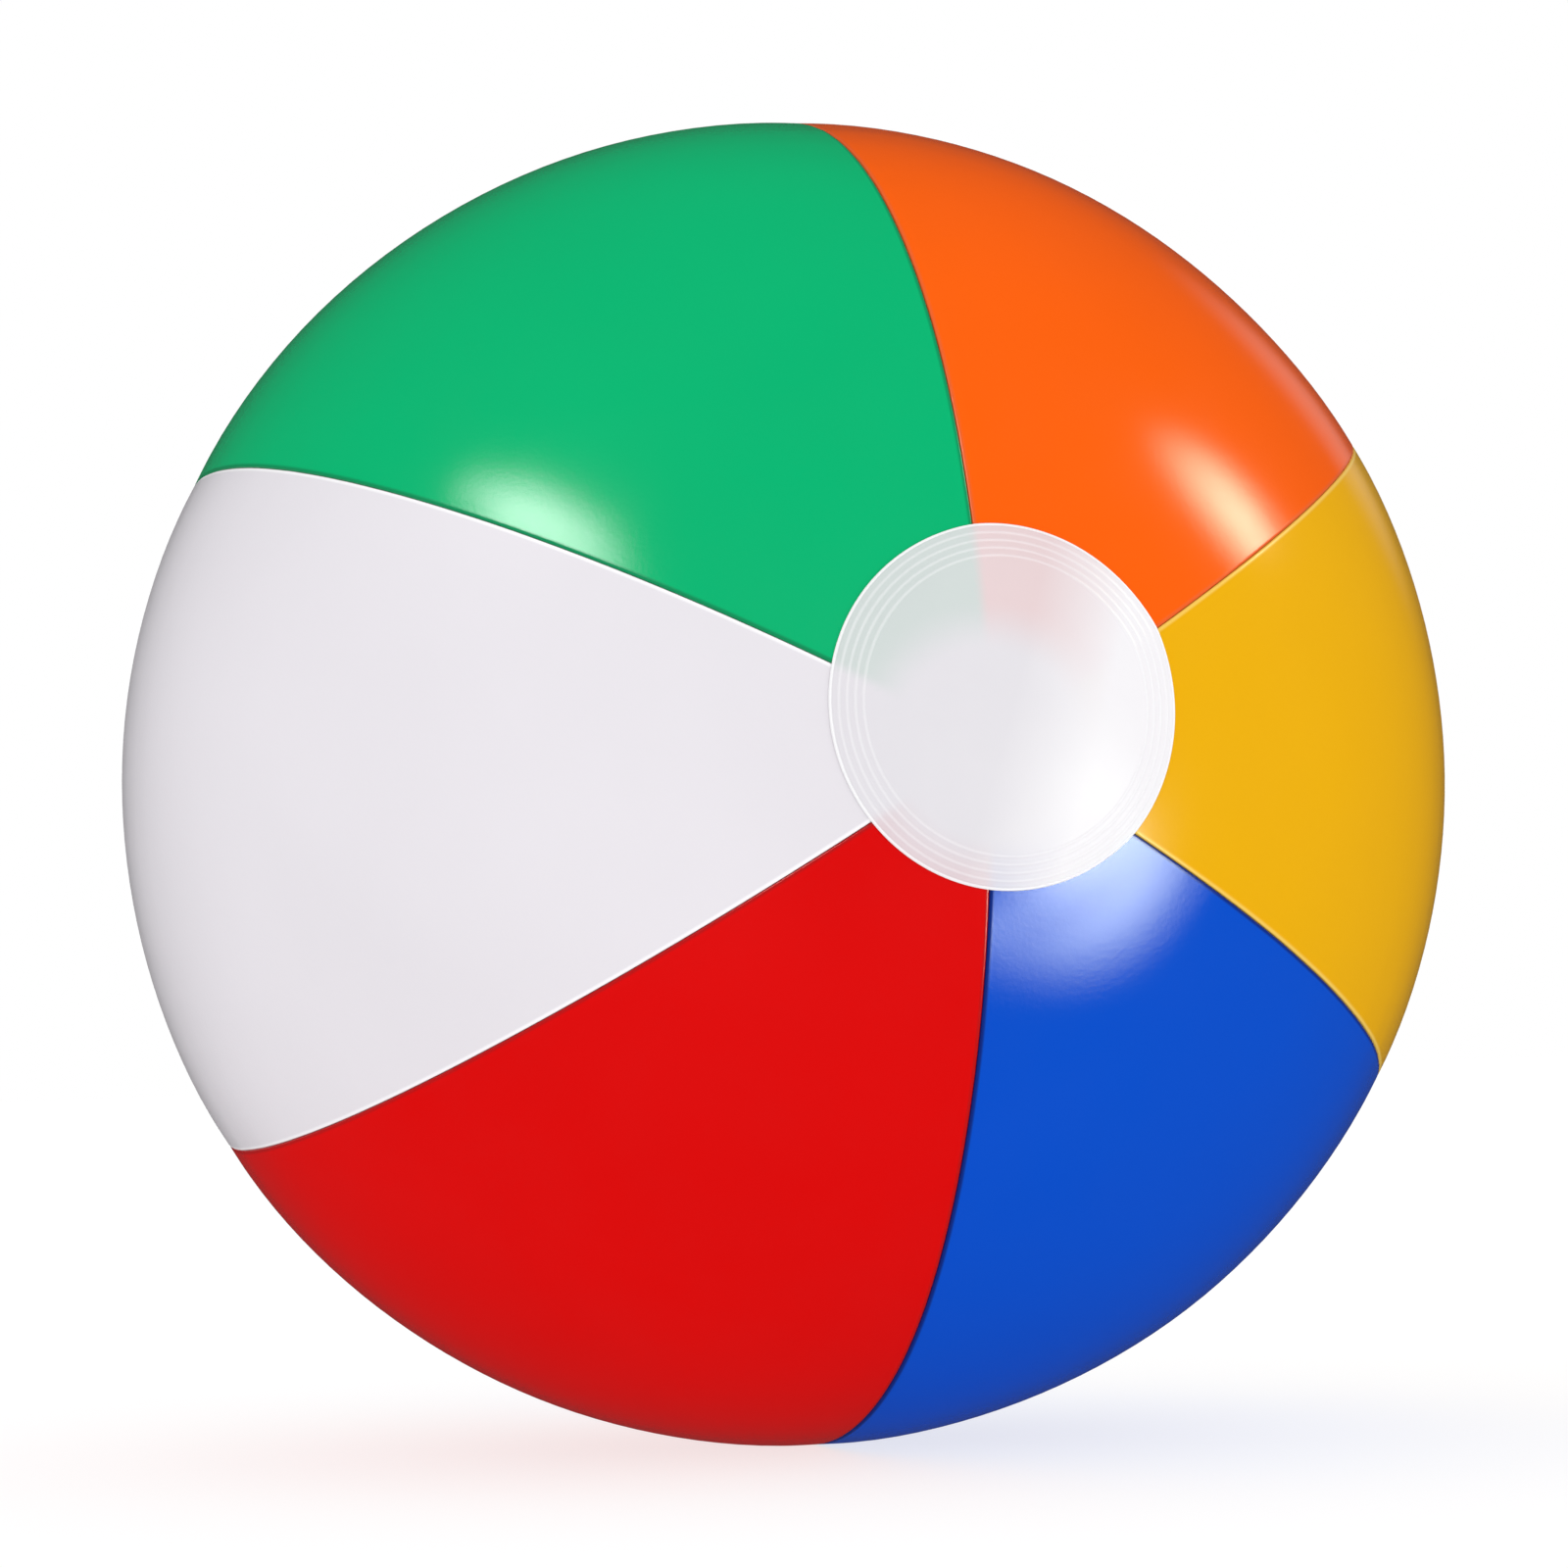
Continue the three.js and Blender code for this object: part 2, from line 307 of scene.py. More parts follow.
class Shader:
    def __init__(self, owner):
        owner.use_nodes = True
        self.tree = owner.node_tree
        self.tree.nodes.clear()

    def add(self, kind, settings=None, sockets=None, out=0):
        node = self.tree.nodes.new(kind)
        for key, value in (settings or {}).items():
            setattr(node, key, value)
        for key, value in (sockets or {}).items():
            if isinstance(value, Sock):
                self.tree.links.new(value.output, node.inputs[key])
            else:
                node.inputs[key].default_value = value
        return Sock(self, node.outputs[out]) if node.outputs else None

    def spot(self):
        return self.add("ShaderNodeTexCoord", out="Object")

    def attribute(self, name, out="Fac"):
        return self.add("ShaderNodeAttribute", {"attribute_name": name}, out=out)

    def noise(self, spot, scale, detail=2, roughness=0.5):
        sockets = {"Vector": spot, "Scale": scale, "Detail": detail, "Roughness": roughness}
        return self.add("ShaderNodeTexNoise", sockets=sockets, out="Fac")

    def smooth(self, value, low, high, start=0, end=1):
        sockets = {"Value": value, "From Min": low, "From Max": high, "To Min": start, "To Max": end}
        return self.add("ShaderNodeMapRange", {"interpolation_type": "SMOOTHSTEP"}, sockets)

    def mix(self, factor, first, second):
        sockets = {"Factor": factor, 6: first, 7: second}
        return self.add("ShaderNodeMix", {"data_type": "RGBA"}, sockets, out=2)

    def bump(self, height, strength, distance):
        sockets = {"Strength": strength, "Distance": distance, "Height": height}
        return self.add("ShaderNodeBump", sockets=sockets)

    def skin(self, **sockets):
        named = {key.replace("_", " "): value for key, value in sockets.items()}
        surface = self.add("ShaderNodeBsdfPrincipled", sockets=named)
        self.add("ShaderNodeOutputMaterial", sockets={"Surface": surface})


def rgb(color, share=1):
    return (*(channel * share for channel in color), 1)


# glossy PVC film
filmLooks = {
    # the second colour of each film is painted along its seams: darker as painted shade in the seam's
    # groove, paler on the white and yellow films as a painted highlight on the seam's lip
    "green": {"color": (0.0003, 0.462, 0.166), "weld": (0.002, 0.28, 0.10), "rough": 0.15},
    "white": {"color": (0.800, 0.772, 0.815), "weld": (0.98, 0.97, 0.99), "rough": 0.17},
    "red": {"color": (0.720, 0.0003, 0.0003), "weld": (0.50, 0.003, 0.004), "rough": 0.15},
    "blue": {"color": (0.0003, 0.077, 0.600), "weld": (0.002, 0.022, 0.22), "rough": 0.15},
    "yellow": {"color": (0.870, 0.440, 0.0003), "weld": (0.93, 0.60, 0.10), "rough": 0.15},
    "orange": {"color": (0.980, 0.118, 0.0003), "weld": (0.85, 0.12, 0.02), "rough": 0.15},
}

filmFinish = {
    "shine": 0.28,
    "weldLine": (0.5 * mm, 1.3 * mm),   # the painted seam shade and lip highlight fade out between these distances
    "weldRough": 0.06,
    "clouds": 14,           # scale of the slow change of tone
    "cloudTone": 0.04,      # how far the tone goes up and down
    "haze": 45,             # scale of the change in gloss
    "hazeRough": 0.06,
    "grain": 900,
    "grainStrength": 0.06,
    "grainDepth": 0.3 * mm,
}


def filmMaterial(name, look):
    material = bpy.data.materials.new(name)
    shader = Shader(material)
    spot = shader.spot()
    # mask of the painted seam shade and lip highlight, which also roughens the film along the seam
    weld = shader.smooth(shader.attribute("seamDistance"), *filmFinish["weldLine"], 1, 0)
    clouds = shader.noise(spot, filmFinish["clouds"], 3)
    haze = shader.noise(spot, filmFinish["haze"], 4, 0.6)
    grain = shader.noise(spot, filmFinish["grain"], 2, 0.6)
    low, high = 1 - filmFinish["cloudTone"], 1 + filmFinish["cloudTone"]
    tone = shader.mix(clouds, rgb(look["color"], low), rgb(look["color"], high))
    tone = shader.mix(weld, tone, rgb(look["weld"]))
    roughness = look["rough"] + (haze - 0.5) * filmFinish["hazeRough"] + weld * filmFinish["weldRough"]
    shader.skin(
        Base_Color=tone, Roughness=roughness, Specular_IOR_Level=filmFinish["shine"],
        Normal=shader.bump(grain, filmFinish["grainStrength"], filmFinish["grainDepth"]))
    return material


# milky film of the caps
capLook = {
    "color": (0.93, 0.91, 0.94),    # lighter tone: where the mottle is milky, and towards the painted glare on the lower right
    "shade": (0.79, 0.77, 0.81),    # darker tone: where the mottle is thin, and away from the painted glare, where the panels' colours also come through
    # weld rings: lighter for their thicker film and as a painted highlight on their ridges
    "ring": (0.90, 0.89, 0.91),
    "ringTone": 0.35,       # how strongly the rings take their lighter colour: thicker film, and a painted highlight on their ridges
    # the rim is painted near white all round, a painted highlight along the edge of the thickened bead
    "rim": (0.97, 0.97, 0.98),
    "rimTone": 0.8,
    "rimLine": (0.75 * mm, 0.45 * mm),      # the rim's painted highlight and its thicker film begin and are full this far in from the edge
    "alpha": 0.95,
    "thickAlpha": 0.05,     # what the rings and the rim add to it
    "showThrough": 0.17,    # how much of the panels' colours comes through
    "panelEnds": (-4 * mm, 9 * mm),         # they fade in between these distances from the panels' cut ends
    "rough": 0.36,
    "shine": 0.30,
    "mottle": 40,           # scale of the cloudiness
    "mottleTone": 0.3,
    "mottleRough": 0.12,
    "grain": 1200,
    "grainStrength": 0.05,
    "grainDepth": 0.3 * mm,
}


def capMaterial(name):
    material = bpy.data.materials.new(name)
    shader = Shader(material)
    spot = shader.spot()
    rings = shader.attribute("ringHeight")
    fadeStart, fadeEnd = (ball["poleHole"] + offset for offset in capLook["panelEnds"])
    overPanels = shader.smooth(shader.attribute("offPole"), fadeStart, fadeEnd)
    rimStart, rimFull = (cap["radius"] - inset for inset in capLook["rimLine"])
    rim = shader.smooth(shader.attribute("offAxis"), rimStart, rimFull)
    mottle = shader.noise(spot, capLook["mottle"], 3, 0.55)
    # the cap is painted lighter towards its lower right as a painted glare, with random mottle over it;
    # less of the panels' colours comes through where the glare is painted
    glareMask = shader.attribute("paintedGlare")
    glareAndMottle = glareMask + (mottle - 0.5) * capLook["mottleTone"]
    tone = shader.mix(glareAndMottle, rgb(capLook["shade"]), rgb(capLook["color"]))
    through = overPanels * (1 - glareMask) * capLook["showThrough"]
    tone = shader.mix(through, tone, shader.attribute("panelBehind", "Color"))
    # rings painted lighter: thicker film and a painted highlight on their ridges
    tone = shader.mix(rings * capLook["ringTone"], tone, rgb(capLook["ring"]))
    # painted highlight along the rim, where the film is also thicker
    tone = shader.mix(rim * capLook["rimTone"], tone, rgb(capLook["rim"]))
    grain = shader.noise(spot, capLook["grain"])
    shader.skin(
        Base_Color=tone, Specular_IOR_Level=capLook["shine"],
        Alpha=capLook["alpha"] + rings * capLook["thickAlpha"] + rim * capLook["thickAlpha"],
        Roughness=capLook["rough"] + (mottle - 0.5) * capLook["mottleRough"],
        Normal=shader.bump(grain, capLook["grainStrength"], capLook["grainDepth"]))
    return material


# soft moulded PVC of the valve
valveLook = {
    "color": (0.86, 0.86, 0.85),
    "shade": (0.80, 0.80, 0.79),
    "clouds": 160,
    "rough": 0.38,
    "cloudRough": 0.1,
    "shine": 0.5,
    "grain": 2200,
    "grainStrength": 0.08,
    "grainDepth": 0.2 * mm,
}


def valveMaterial(name):
    material = bpy.data.materials.new(name)
    shader = Shader(material)
    spot = shader.spot()
    clouds = shader.noise(spot, valveLook["clouds"], 3)
    grain = shader.noise(spot, valveLook["grain"])
    shader.skin(
        Base_Color=shader.mix(clouds, rgb(valveLook["shade"]), rgb(valveLook["color"])),
        Roughness=valveLook["rough"] + (clouds - 0.5) * valveLook["cloudRough"],
        Normal=shader.bump(grain, valveLook["grainStrength"], valveLook["grainDepth"]),
        Specular_IOR_Level=valveLook["shine"])
    return material


def standsFor(piece, node, material, body=None):
    # a piece without a body is attached to none
    piece.data.materials.append(material)
    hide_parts(node)
    if body:
        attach(piece, body)


# panels

def makePanels(seams):
    count = len(panelOrder)
    length = 2 * ball["radius"] * math.asin(ball["poleY"] / ball["radius"])
    flanges = 2 * film["flange"]
    for i, name in enumerate(panelOrder):
        panel = newPiece("film_" + name, panelMesh("film_" + name, seams[name], (i, (i + 1) % count)))
        material = filmMaterial(name + " film", filmLooks[name])
        standsFor(panel, "panel_" + name, material, "ball")
        span = seams[name][1] - seams[name][0]
        area = 2 * ball["radius"] * ball["poleY"] * span + flanges * length
        ball["radius"] * span + flanges


# caps

cap = {
    "radius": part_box("rear_cap")[1].x,
    "gap": 0.18 * mm,           # between the panels and the cap
    "thickness": 0.25 * mm,
    "rings": 4,
    "ringInset": 2.1 * mm,
    "ringPitch": 1.8 * mm,
    "ringWidth": 1.0 * mm,
    "ringHeight": 0.15 * mm,
    "bead": 0.24 * mm,          # thickened rim
    "beadWidth": 0.6 * mm,
    "uneven": 0.10 * mm,        # waviness that the welding leaves
    "unevenLength": 16 * mm,
    "glareWay": (0.95, 0, -0.30),   # direction from the middle in which the film is painted lighter, a painted glare
    "glareOver": 22 * mm,
    "seamBlur": 2.2 * mm,       # softness of the panels' seams as seen through the milky film
    "segments": 200,
    "undersideSteps": 24,
    "plainSteps": 16,           # from the middle to the innermost ring
    "ringSteps": 74,            # from there to the rim
}


def capLift(off):
    # height of the weld rings and of the thick rim over the plain film
    rise = 0.0
    for k in range(cap["rings"]):
        ring = cap["radius"] - cap["ringInset"] - k * cap["ringPitch"]
        away = abs(off - ring) / (cap["ringWidth"] / 2)
        if away < 1:
            rise = cap["ringHeight"] * math.cos(away * math.pi / 2) ** 2
    edge = (cap["radius"] - off) / cap["beadWidth"]
    if edge < 1:
        rise = cap["bead"] * math.sqrt(max(0, 1 - (2 * edge - 1) ** 2))
    return rise


def capOutline(hole):
    # section through the cap: its underside outwards, and its top back again
    under = ball["radius"] + cap["gap"]
    over = under + cap["thickness"]
    ringZone = cap["radius"] - cap["ringInset"] - cap["rings"] * cap["ringPitch"]
    coarse = np.linspace(hole, cap["radius"], cap["undersideSteps"])
    plain = np.linspace(hole, ringZone, cap["plainSteps"])
    fine = np.concatenate([plain, np.linspace(ringZone, cap["radius"], cap["ringSteps"])[1:]])
    outline = [(off, math.sqrt(under ** 2 - off ** 2)) for off in coarse]
    return outline + [(off, math.sqrt((over + capLift(off)) ** 2 - off ** 2)) for off in fine[::-1]]


def underCap(points, seams):
    # colour of the panel under each point, blurred over its seams, and how far that panel is drawn in
    azimuth = np.arctan2(-points[:, 0], points[:, 2])
    ring = np.hypot(points[:, 0], points[:, 2])
    polar = np.arccos(np.clip(-points[:, 1] / np.linalg.norm(points, axis=1), -1, 1))
    shades, weights, drawn = np.zeros((len(points), 3)), np.zeros((len(points), 1)), np.zeros(len(points))
    for name, (start, end) in seams.items():
        middle = (start + end) / 2
        turn = (azimuth - middle + math.pi) % (2 * math.pi) - math.pi
        inside = ring * np.sin(np.clip((end - start) / 2 - np.abs(turn), -math.pi / 2, math.pi / 2))
        weight = np.clip(0.5 + inside / cap["seamBlur"], 0, 1)[:, None]
        shades += weight * filmLooks[name]["color"]
        weights += weight
        mine = np.abs(turn) <= (end - start) / 2
        drawn[mine] = drawnStraight(polar, middle + turn, start, end)[mine]
    return shades / np.maximum(weights, 1e-3), drawn


def paintCap(mesh, points, off, rings, shades):
    # values over the surface that the milky film's material reads
    # painted glare: the film is painted lighter from the middle towards the lower right
    glareShare = (points - points.mean(0)) @ np.array(cap["glareWay"]) / cap["glareOver"]
    addAttribute(mesh, "paintedGlare", np.clip(glareShare, 0, 1))
    addAttribute(mesh, "offAxis", off)
    addAttribute(mesh, "offPole", np.hypot(points[:, 0], points[:, 2]))
    addAttribute(mesh, "ringHeight", rings)
    shades = np.concatenate([shades, np.ones((len(points), 1))], 1).astype(np.float32)
    mesh.attributes.new("panelBehind", "FLOAT_COLOR", "POINT").data.foreach_set("color", shades.ravel())


def makeCap(name, node, axis, hole, seams):
    mesh = revolved(name, capOutline(hole), cap["segments"], sharpAngle=60)
    points = pointsOf(mesh)
    off = np.hypot(points[:, 0], points[:, 2])
    onTop = np.linalg.norm(points, axis=1) > ball["radius"] + cap["gap"] + cap["thickness"] / 2
    plain = off < cap["radius"] - cap["beadWidth"]
    rings = np.array([capLift(r) for r in off]) / cap["ringHeight"] * onTop * plain
    turn = Vector((0, 1, 0)).rotation_difference(Vector(axis)).to_matrix()
    points = points @ np.array(turn).T
    outwards = points / np.linalg.norm(points, axis=1)[:, None]
    shades, drawn = underCap(points, seams)
    uneven = swell(points) + cap["uneven"] * waves(points, cap["unevenLength"], 6) - drawn
    points = points + outwards * uneven[:, None]
    mesh.vertices.foreach_set("co", points.astype(np.float32).ravel())
    paintCap(mesh, points, off, rings, shades)
    piece = newPiece(name, mesh)
    standsFor(piece, node, capMaterial(name + " film"), "ball")


def makeCaps(seams):
    frontAxis = nodePoints("front_cap").mean(0)
    rear = nodePoints("rear_cap")
    makeCap("cap_front", "front_cap", frontAxis, 0, seams)
    makeCap("cap_rear", "rear_cap", (0, 1, 0), np.hypot(rear[:, 0], rear[:, 2]).min(), seams)


# valve, all round the Y axis

valve = {
    "segments": 72,
    "round": 0.25 * mm,         # rounding of moulded edges
    "barRound": 0.2 * mm,       # the same on a flat bar
    "barCorner": 0.9 * mm,      # corners of the finger tab and the strap's lug, seen from above
    "rootDepth": 0.6 * mm,      # how far a bar runs into what it grows from
    "lipHeight": 1.0 * mm,      # lips round the stem's two ends
    "neckBelow": 0.6 * mm,      # how far under the upper lip the stem has its plain width
    "lugBelow": 0.15 * mm,      # from the stem's rim down to the lug
    "flangeThickness": 0.8 * mm,
    "skirtThickness": 0.6 * mm,
    "skirtSteps": 25,
    "skirtOff": 1.2,            # the skirt's foot stands this many half thicknesses off the stem's lip
    "headDome": 0.25 * mm,
    "domeWidth": 1.2 * mm,
    "plugRound": 0.3 * mm,
    "thumbDish": 2.4 * mm,      # radius of the shallow dish in the plug's head
    "dishDepth": 0.3 * mm,
    "tabFrom": 0.2 * mm,        # the finger tab's two faces over the foot of the plug's head
    "tabTo": 1.0 * mm,
    "strapBend": 0.55 * mm,
    "strapInset": 0.1 * mm,     # the strap's bend begins this far in from the end of its solid
    "strapStart": 0.5 * mm,     # how far the strap runs into the lug
    "strapEnd": 0.3 * mm,       # and into the plug's head
    "strapEdge": 0.35,          # rounding of its edges, as a share of its thickness
    "flapSink": 0.15 * mm,      # how far the flap's middle lies under the ring that closes the bore
    "flapSlope": 0.4 * mm,      # width of the slope between them
    "flapRound": 0.15 * mm,
}


def levelRadii(node, height):
    # smallest and largest distance from the valve's axis of a node's points at one height
    points = nodePoints(node)
    level = points[np.abs(points[:, 1] - height) < 0.01 * mm]
    off = np.hypot(level[:, 0], level[:, 2])
    return off.min(), off.max()


def readValve():
    # sizes that more than one piece of the valve shares, from the frame
    stemLow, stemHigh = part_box("valve_stem")
    strapLow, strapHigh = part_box("plug_strap")
    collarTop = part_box("valve_collar")[1].y
    return {
        "stemFoot": stemLow.y,
        "rimTop": stemHigh.y,
        "lip": stemHigh.z,
        "lugEnd": stemHigh.x,
        "bore": levelRadii("valve_stem", stemHigh.y)[0],
        "collarTop": collarTop,
        "collarRing": levelRadii("valve_collar", collarTop),   # its inner and outer radius
        "strapLow": strapLow,
        "strapHigh": strapHigh,
        "headRadius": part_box("valve_plug")[1].z,
    }


def joined(first, second):
    # one closed skin round both
    cut = first.modifiers.new("join", "BOOLEAN")
    cut.operation = "UNION"
    cut.solver = "EXACT"
    cut.object = second
    graph = bpy.context.evaluated_depsgraph_get()
    mesh = bpy.data.meshes.new_from_object(first.evaluated_get(graph))
    first.modifiers.clear()
    first.data = mesh
    mesh.shade_smooth()
    mesh.set_sharp_from_angle(angle=math.radians(35))
    bpy.data.objects.remove(second)
    return first


def turned(name, corners, roundness=valve["round"]):
    outline = softCorners(corners, roundness)
    return newPiece(name, revolved(name, outline, valve["segments"]))


def isLevel(edge):
    # lies in a plane across the Y axis, on the outline of a flat face
    flat = abs(edge.verts[0].co.y - edge.verts[1].co.y) < 0.001 * mm
    return flat and edge.calc_face_angle(0) > math.radians(60)


def softBar(name, low, high):
    # flat bar with rounded corners and edges
    low, high = Vector(low), Vector(high)
    work = bmesh.new()
    bmesh.ops.create_cube(work, size=1)
    for vertex in work.verts:
        vertex.co = (low + high) / 2 + vertex.co * (high - low)
    for chosen, offset in ((lambda e: not isLevel(e), valve["barCorner"]), (isLevel, valve["barRound"])):
        edges = [edge for edge in work.edges if chosen(edge)]
        bmesh.ops.bevel(work, geom=edges, offset=offset, segments=4, profile=0.5, affect="EDGES")
    mesh = bpy.data.meshes.new(name)
    work.to_mesh(mesh)
    work.free()
    return newPiece(name, mesh)


def strapMesh(name, route, width, thickness):
    # flat band with round edges along a route in the XY plane
    bend = thickness * valve["strapEdge"]
    sides = ((-1, -1, 1.0), (1, -1, 1.5), (1, 1, 0.0), (-1, 1, 0.5))   # across, upwards, first quarter turn
    section = []
    for side, height, quarter in sides:
        for turn in np.linspace(quarter * math.pi, (quarter + 0.5) * math.pi, 4):
            z = side * (width / 2 - bend) + bend * math.cos(turn)
            section.append((z, height * (thickness / 2 - bend) + bend * math.sin(turn)))
    route = np.array(route)
    ahead = np.gradient(route, axis=0)
    ahead /= np.linalg.norm(ahead, axis=1)[:, None]
    rings = []
    for here, way in zip(route, ahead):
        rings.append([(here[0] - way[1] * lift, here[1] + way[0] * lift, z) for z, lift in section])
    points = np.array(rings)
    index = np.arange(points.shape[0] * points.shape[1]).reshape(points.shape[:2])
    beside = np.roll(index, -1, axis=1)
    faces = np.stack([index[:-1], beside[:-1], beside[1:], index[1:]], -1).reshape(-1, 4).tolist()
    faces += [index[0].tolist(), index[-1].tolist()]
    return closedMesh(name, points, faces, sharpAngle=50)


def arc(radius, start, end, steps=5):
    return [(off, math.sqrt(radius ** 2 - off ** 2)) for off in np.linspace(start, end, steps)]


def makeCollar(skin, sizes):
    # ring through the rear cap, with its flange under the film
    inner, outer = sizes["collarRing"]
    top, flange = sizes["collarTop"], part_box("valve_collar")[1].z
    outline = arc(ball["radius"] - valve["flangeThickness"], inner, flange)
    outline += arc(ball["radius"], flange, outer) + [(outer, top), (inner, top)]
    standsFor(turned("collar_ring", outline), "valve_collar", skin, "ball")


def makeSkirt(skin, sizes):
    # cone that rolls over when the valve is pulled out
    low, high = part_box("valve_skirt")
    half = valve["skirtThickness"] / 2
    topRadius, footRadius = sizes["collarRing"][0] - half, sizes["lip"] + valve["skirtOff"] * half
    fall = np.linspace(0, 1, valve["skirtSteps"])
    middle = topRadius + (footRadius - topRadius) * fall * fall * (3 - 2 * fall)
    level = high.y + (low.y - high.y) * fall
    outline = list(zip(middle + half, level)) + list(zip(middle - half, level))[::-1]
    skirt = newPiece("skirt_cone", revolved("skirt_cone", outline, valve["segments"], sharpAngle=50))
    standsFor(skirt, "valve_skirt", skin)
    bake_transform(skirt)


def makeStem(skin, sizes):
    # tube, with the lug that the strap grows from
    foot, top, lip, bore = sizes["stemFoot"], sizes["rimTop"], sizes["lip"], sizes["bore"]
    lipHeight = valve["lipHeight"]
    neck = levelRadii("valve_stem", top - lipHeight - valve["neckBelow"])[1]
    step = lip - neck
    tube = turned("stem_tube", [
        (bore, foot), (lip, foot), (lip, foot + lipHeight), (neck, foot + lipHeight + step),
        (neck, top - lipHeight - step), (lip, top - lipHeight), (lip, top), (bore, top)])
    lug = softBar(
        "lug", (lip - valve["rootDepth"], top - lipHeight, sizes["strapLow"].z),
        (sizes["lugEnd"], top - valve["lugBelow"], sizes["strapHigh"].z))
    standsFor(joined(tube, lug), "valve_stem", skin, "stem")


def makePlug(skin, sizes):
    # plug, with its dished head and finger tab
    low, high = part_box("valve_plug")
    rimTop, radius, headFoot = sizes["rimTop"], sizes["headRadius"], sizes["strapLow"].y
    mouth, tip = levelRadii("valve_plug", rimTop)[1], levelRadii("valve_plug", low.y)[1]
    dish, depth = valve["thumbDish"], valve["dishDepth"]
    outline = [
        (0, low.y), (tip, low.y), (mouth, rimTop), (mouth, headFoot), (radius, headFoot),
        (radius, high.y - valve["headDome"]), (radius - valve["domeWidth"], high.y), (dish, high.y)]
    for turn in np.linspace(0.3, math.pi / 2, 6)[:-1]:
        outline.append((dish * math.cos(turn), high.y - depth * math.sin(turn) ** 2))
    outline.append((0, high.y - depth))
    plug = turned("plug_body", outline, valve["plugRound"])
    tab = softBar(
        "tab", (low.x, headFoot + valve["tabFrom"], sizes["strapLow"].z),
        (valve["rootDepth"] - radius, headFoot + valve["tabTo"], sizes["strapHigh"].z))
    standsFor(joined(plug, tab), "valve_plug", skin, "plug")


def makeStrap(skin, sizes):
    # strap, doubled back from the lug to the plug's head
    low, high = sizes["strapLow"], sizes["strapHigh"]
    lugEnd, bend = sizes["lugEnd"], valve["strapBend"]
    upper = (low.y + high.y) / 2
    lower = upper - 2 * bend
    turnX = high.x - valve["strapInset"]
    route = [(lugEnd - valve["strapStart"], lower), (lugEnd - 0.4 * valve["strapStart"], lower)]
    for turn in np.linspace(0, math.pi, 11):
        route.append((turnX + bend * math.sin(turn), upper - bend - bend * math.cos(turn)))
    route += [(x, upper) for x in np.linspace(turnX, sizes["headRadius"] - valve["strapEnd"], 6)[1:]]
    strap = newPiece("strap_band", strapMesh("strap_band", route, high.z - low.z, high.y - low.y))
    standsFor(strap, "plug_strap", skin)
    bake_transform(strap)


def makeFlap(skin, sizes):
    # flap at the stem's foot, with a raised ring that closes the bore
    low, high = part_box("check_flap")
    middle, sunk = sizes["bore"] - valve["flapSlope"], high.y - valve["flapSink"]
    flap = turned("flap_disc", [
        (0, low.y), (high.z, low.y), (high.z, high.y), (sizes["bore"], high.y),
        (middle, sunk), (0, sunk)], valve["flapRound"])
    standsFor(flap, "check_flap", skin, "flap")


def makeValve():
    skin, sizes = valveMaterial("valve moulding"), readValve()
    for makePart in (makeCollar, makeSkirt, makeStem, makePlug, makeStrap, makeFlap):
        makePart(skin, sizes)


seams = readSeams()
makePanels(seams)
print("panels made")
makeCaps(seams)
print("caps made")
makeValve()
print("valve made")


# studio

camera = {
    "azimuth": -16.12,
    "elevation": -2.78,
    "roll": -1.64,
    "distance": 8 * ball["radius"],
    "lens": 120.7,
    "sensor": 36,
}

# to is the direction from the ball as the camera sees it (right, up, towards it); metres and watts
# core is the share of a lamp that is evenly bright before it fades towards its edge
# mirrored lamps show only in the gloss of the film, and the others only light its colours
lamps = {
    "window": {
        "to": (-0.536, 0.675, 0.507), "away": 1.35, "size": (1.10, 0.30), "roll": -16,
        "power": 27, "core": 0.1, "tint": (1, 1, 1), "mirrored": True},
    "side strip": {
        "to": (0.829, 0.554, -0.073), "away": 1.35, "size": (0.62, 0.46), "roll": 122,
        "power": 19, "core": 0, "tint": (1.0, 0.93, 0.68), "mirrored": True},
    "front card": {
        "to": (0.770, -0.216, 0.600), "away": 1.35, "size": (0.94, 0.96), "roll": 0,
        "power": 118, "core": 0, "tint": (0.90, 1.0, 0.84), "mirrored": True},
    "back card": {
        "to": (0.495, 0.348, -0.796), "away": 1.6, "size": (0.6, 0.8), "roll": 0,
        "power": 0.5, "core": 0.2, "tint": (1, 1, 1), "mirrored": True},
    "front fill": {
        "to": (0.1, 0.35, 1), "away": 2.2, "size": (1.6, 1.6), "roll": 0,
        "power": 5, "core": 0.9, "tint": (1, 1, 1), "mirrored": False},
}

studio = {
    "skyLight": 1.0,        # even light from all round
    "reflectedRoom": 0.04,  # what the film mirrors between the lamps
    "backdrop": 1.0,
    "floorColor": (0.28, 0.28, 0.28),   # a light table: part paint, part glow
    "floorCloud": 0.99,     # the darker of its two tones
    "floorGlow": 0.74,
    "floorRadius": 12,
}


def makeCamera():
    turn, rise = math.radians(camera["azimuth"]), math.radians(camera["elevation"])
    back = Vector((math.sin(turn) * math.cos(rise), -math.cos(turn) * math.cos(rise), math.sin(rise)))
    lens = bpy.data.cameras.new("camera")
    lens.lens = camera["lens"]
    lens.sensor_width = camera["sensor"]
    eye = bpy.data.objects.new("camera", lens)
    bpy.context.scene.collection.objects.link(eye)
    eye.rotation_mode = "QUATERNION"
    eye.location = back * camera["distance"]
    roll = Quaternion((0, 0, 1), math.radians(camera["roll"]))
    eye.rotation_quaternion = (-back).to_track_quat("-Z", "Y") @ roll
    bpy.context.scene.camera = eye
    return eye.rotation_quaternion.to_matrix()


